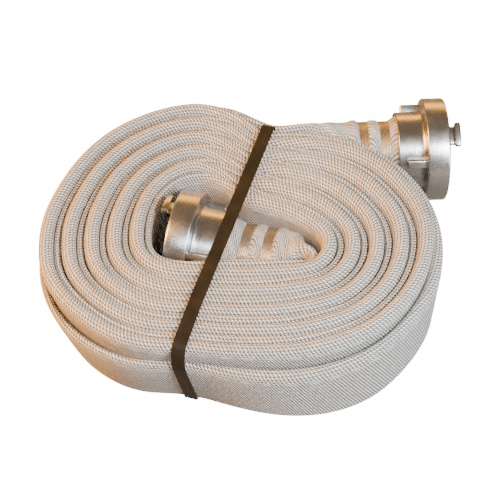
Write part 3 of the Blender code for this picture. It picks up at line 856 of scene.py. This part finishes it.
def make_lug_ring(name, place):
    """The turning ring: its casting, the lip cut by two slots, two hooked lugs, three ribs."""
    casting = rounded_profile((
        (44.5, -12.0, 0), (27.6, -12.0, 0.4), (27.6, -38.0, 0.4), (34.2, -38.0, 0),
        (34.2, -46.9, 0.6), (36.5, -46.9, 1.3), (36.5, -25.2, 2.2), (37.7, -22.6, 1.4),
        (44.0, -21.5, 0), (49.0, -21.3, 1.9), (49.0, 0.0, 2.4), (43.7, 0.0, 0.3),
        (43.7, -4.5, 0), (44.5, -4.5, 0),
    ), 4)
    lip = rounded_profile(((38.5, -4.5, 0.4), (43.9, -4.5, 0), (43.9, 0.0, 0), (38.5, 0.0, 0.7)))
    shells = [spin(casting)]
    lug = lean_angle(place, place["lug"])
    slot_half = math.radians(28)
    for middle in (lug, lug + math.pi):
        start = middle - math.pi / 2 + slot_half
        shells.append(spin(lip, 48, start, math.pi - 2 * slot_half))
        root, neck, head = math.radians(29), math.radians(28.4), math.radians(33)
        shells.append(arc_block((34.2, 39.3), (-13.0, -0.7), middle, root, 0.6))
        shells.append(arc_block((34.5, 38.1), (-3.0, 7.0), middle, neck, 0.6))
        shells.append(arc_block((33.9, 43.5), (5.5, 11.2), middle, head, 1.6, 18))
    rib = lean_angle(place, place["rib"])
    for k in range(3):
        turn = Matrix.Rotation(rib + math.tau * k / 3, 4, "Z")
        shift = Matrix.Translation((0.0396, 0.0, -0.0303))
        shells.append(bevelled_block(turn @ shift, (0.0088, 0.008, 0.0194), 0.0014, 4))
    coupling_piece(
        name + "_lug_ring_fine", shells, place, CAST, name + "_lug_ring_body",
        name + "_lug_ring")


def make_tailpiece(name, place):
    """The collar with its seal seat, the neck with the snap ring's groove and the ribbed
    hose tail, as one turned profile."""
    first, second = (1000 * z for z in place["bindings"])
    end = second - 10.5
    rows = [
        (30.8, -6.3, 0), (30.8, -1.5, 0.3), (33.0, -1.5, 0.5), (33.0, -11.7, 0.3),
        (27.0, -11.7, 0), (27.0, -38.8, 0), (25.8, -38.8, 0), (25.8, -41.2, 0),
        (27.0, -41.2, 0), (27.0, -41.8, 0), (24.4, -42.4, 0),
    ]
    for middle in ((first + second) / 2, second - 6.2):
        rows += [(24.4, middle + 1.5, 0), (25.0, middle, 0.3), (24.4, middle - 1.5, 0)]
    rows += [(24.4, end + 2.0, 0), (23.5, end, 0.3), (22.0, end, 0.3), (22.0, -6.3, 0.3)]
    coupling_piece(
        name + "_tailpiece_fine", [spin(rounded_profile(rows), 112)], place, MACHINED,
        "roll", name + "_tailpiece")


WIRE_RADIUS = 0.78
WIRE_TURNS = 6
WIRE_PITCH = 2 * WIRE_RADIUS * 0.98


def make_bindings(name, place):
    """Close-wound wire, its turns side by side, in the hollow of each binding."""
    angle = np.linspace(0, math.tau, 10, endpoint=False)
    across, along = WIRE_RADIUS * np.cos(angle), WIRE_RADIUS * np.sin(angle)
    for number, middle in enumerate(place["bindings"], 1):
        shells = []
        for k in range(WIRE_TURNS):
            z = 1000 * middle + (k - (WIRE_TURNS - 1) / 2) * WIRE_PITCH
            ring = np.stack([27.95 + across, z + along], axis=1) / 1000
            shells.append(spin(ring[::-1], 96))
        node = f"{name}_binding_{number}"
        coupling_piece(node + "_wire", shells, place, WIRE, "roll", node)


def make_seal(name, place):
    """The rubber ring in the coupling's face, with a raised sealing lip."""
    profile = rounded_profile((
        (23.8, -6.0, 0), (23.8, -1.0, 0.2), (24.2, 0.6, 0.4), (28.5, 0.6, 0.7),
        (30.0, -0.8, 0.4), (30.5, -3.0, 0), (30.5, -6.0, 0),
    ))
    coupling_piece(
        name + "_seal_fine", [spin(profile, 96)], place, RUBBER, "roll",
        name + "_seal")


def dress_kept_nodes():
    """The snap rings and linings keep their CAD shapes, and take finer materials."""
    for name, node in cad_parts.items():
        for word, material in (("snap", STEEL), ("lining", RUBBER)):
            if word in name and not node.hide_render:
                node.data.materials.clear()
                node.data.materials.append(material)


for coupling, facts in COUPLINGS.items():
    make_lug_ring(coupling, facts)
    make_tailpiece(coupling, facts)
    make_bindings(coupling, facts)
for coupling, facts in COUPLINGS.items():
    make_seal(coupling, facts)
dress_kept_nodes()


# ---------------------------------------------------------------- the band

BAND_STEP = 1.2
BAND_HALF_WIDTH = 5.9
BAND_HALF_THICKNESS = 0.34
BAND_EDGE = 0.12

# The band's loop: (distance along its heading from its middle point, height), in mm.
BAND_LOOP = (
    (121.8, 60.0), (122.0, 84.0), (121.0, 89.0), (117.0, 90.5), (60.0, 90.4), (0.0, 90.4),
    (-60.0, 90.3), (-110.0, 90.2), (-139.0, 90.0), (-148.8, 89.6), (-154.8, 87.4),
    (-158.2, 83.2), (-159.4, 79.0), (-160.0, 74.0), (-160.4, 70.0), (-160.3, 64.0),
    (-157.4, 50.0), (-152.2, 30.0), (-146.6, 12.0), (-143.2, 3.0), (-139.5, 0.75),
    (-100.0, 0.6), (0.0, 0.6), (100.0, 0.6), (118.0, 0.7), (121.0, 3.0), (121.4, 30.0),
)


def band_line():
    """(distance along the heading, height) of the band's closed middle line, evenly spaced
    and smoothed, and its normals."""
    loop = np.array(BAND_LOOP)
    closed = np.concatenate([loop, loop[:1]])
    gaps = np.linalg.norm(np.diff(closed, axis=0), axis=1)
    at = np.concatenate([[0], np.cumsum(gaps)])
    read = np.arange(0, at[-1], BAND_STEP)
    line = np.stack([np.interp(read, at, closed[:, k]) for k in (0, 1)], axis=1)
    padded = np.concatenate([line[-8:], line, line[:8]])
    line = gaussian(padded, 1.3)[8:-8]
    tangent = np.roll(line, -1, axis=0) - np.roll(line, 1, axis=0)
    tangent /= np.linalg.norm(tangent, axis=1)[:, None]
    return line, np.stack([-tangent[:, 1], tangent[:, 0]], axis=1)


def make_band():
    """The strapping: a thin band straight over the folds and the core, down the front and
    back under the roll."""
    line, normal = band_line()
    s, z = line.T
    across = np.array([-BAND_HEADING[1], BAND_HEADING[0]])
    # Down the front wall the band runs a little towards the free coupling's side.
    skew = -7.0 * smoothstep(-110.0, -160.0, s) * smoothstep(88.0, 0.0, z)
    skew = gaussian(skew - smoothstep(-100.0, -150.0, s), 3.0)
    half, thick, edge = BAND_HALF_WIDTH, BAND_HALF_THICKNESS, BAND_HALF_WIDTH + BAND_EDGE
    corners = (
        (-half, thick), (half, thick), (edge, 0.0), (half, -thick), (-half, -thick), (-edge, 0.0),
    )
    rows = []
    for side, out in corners:
        forward = s + normal[:, 0] * out
        plan = BAND_POINT + np.outer(forward, BAND_HEADING) + np.outer(skew + side, across)
        rows.append(np.column_stack([plan, z + normal[:, 1] * out]))
    rings = np.stack(rows, axis=1) / 1000 - ORIGIN
    count, size = rings.shape[:2]
    index = np.arange(count * size).reshape(count, size)
    ahead, beside = np.roll(index, -1, axis=0), np.roll(index, -1, axis=1)
    faces = np.stack([index, beside, np.roll(ahead, -1, axis=1), ahead], axis=-1)
    mesh = bpy.data.meshes.new("band_fine")
    mesh.from_pydata(rings.reshape(-1, 3).tolist(), [], faces.reshape(-1, 4).tolist())
    mesh.update()
    work = bmesh.new()
    work.from_mesh(mesh)
    bmesh.ops.recalc_face_normals(work, faces=work.faces)
    work.to_mesh(mesh)
    work.free()

    vertex = np.zeros(len(mesh.loops), np.int32)
    mesh.loops.foreach_get("vertex_index", vertex)
    sides = np.array([side for side, _ in corners]) / 1000
    values = np.zeros((len(mesh.loops), 2), np.float32)
    values[:, 0] = (vertex // size) * BAND_STEP / 1000
    values[:, 1] = sides[vertex % size]
    layer = mesh.uv_layers.new(name="along_across")
    layer.data.foreach_set("uv", values.reshape(-1))
    band = new_piece("band_fine", mesh, STRAPPING, "roll", 35)
    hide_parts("band")


make_band()


# ---------------------------------------------------------------- floor and light

def make_floor():
    work = bmesh.new()
    bmesh.ops.create_grid(work, x_segments=2, y_segments=2, size=6.0)
    mesh = bpy.data.meshes.new("floor")
    work.to_mesh(mesh)
    work.free()
    mesh.materials.append(floor_material())
    floor = bpy.data.objects.new("floor", mesh)
    floor.location.z = -0.0004
    link(floor)


def area_light(name, place, target, size, power, colour):
    """A rectangular lamp in metres and watts, aimed at the target."""
    data = bpy.data.lights.new(name, "AREA")
    data.shape = "RECTANGLE"
    data.size, data.size_y = size
    data.energy = power
    data.color = colour
    lamp = bpy.data.objects.new(name, data)
    lamp.location = place
    aim = Vector(target) - Vector(place)
    lamp.rotation_euler = aim.to_track_quat("-Z", "Y").to_euler()
    link(lamp)


def make_light():
    """Neutral light from the front and the right, warm light from the left and behind."""
    world = bpy.data.worlds.new("studio")
    bpy.context.scene.world = world
    world.use_nodes = True
    background = world.node_tree.nodes["Background"]
    background.inputs["Color"].default_value = (1.0, 0.76, 0.50, 1)
    background.inputs["Strength"].default_value = 0.24
    area_light("key", (0.80, -0.90, 1.15), (0.05, 0, 0.03), (0.6, 0.5), 48, (0.97, 0.98, 1.0))
    area_light("front_fill", (-0.15, -1.10, 1.40), (0, 0, 0.05), (0.5, 0.4), 15, (0.78, 0.88, 1.0))
    area_light("warm_left", (-1.3, 0.1, 0.36), (0, 0, 0.05), (0.7, 0.5), 52, (1.0, 0.42, 0.05))
    area_light("warm_back", (0.3, 1.7, 0.65), (0, 0, 0.05), (2.4, 0.6), 22, (1.0, 0.44, 0.06))
    area_light("warm_fill", (-0.85, -0.10, 0.85), (0, 0, 0.05), (0.5, 0.5), 19, (1.0, 0.46, 0.11))
    area_light("cool_right", (1.3, -0.85, 0.5), (0, 0, 0.05), (0.9, 0.7), 26, (0.50, 0.76, 1.0))


make_floor()
make_light()
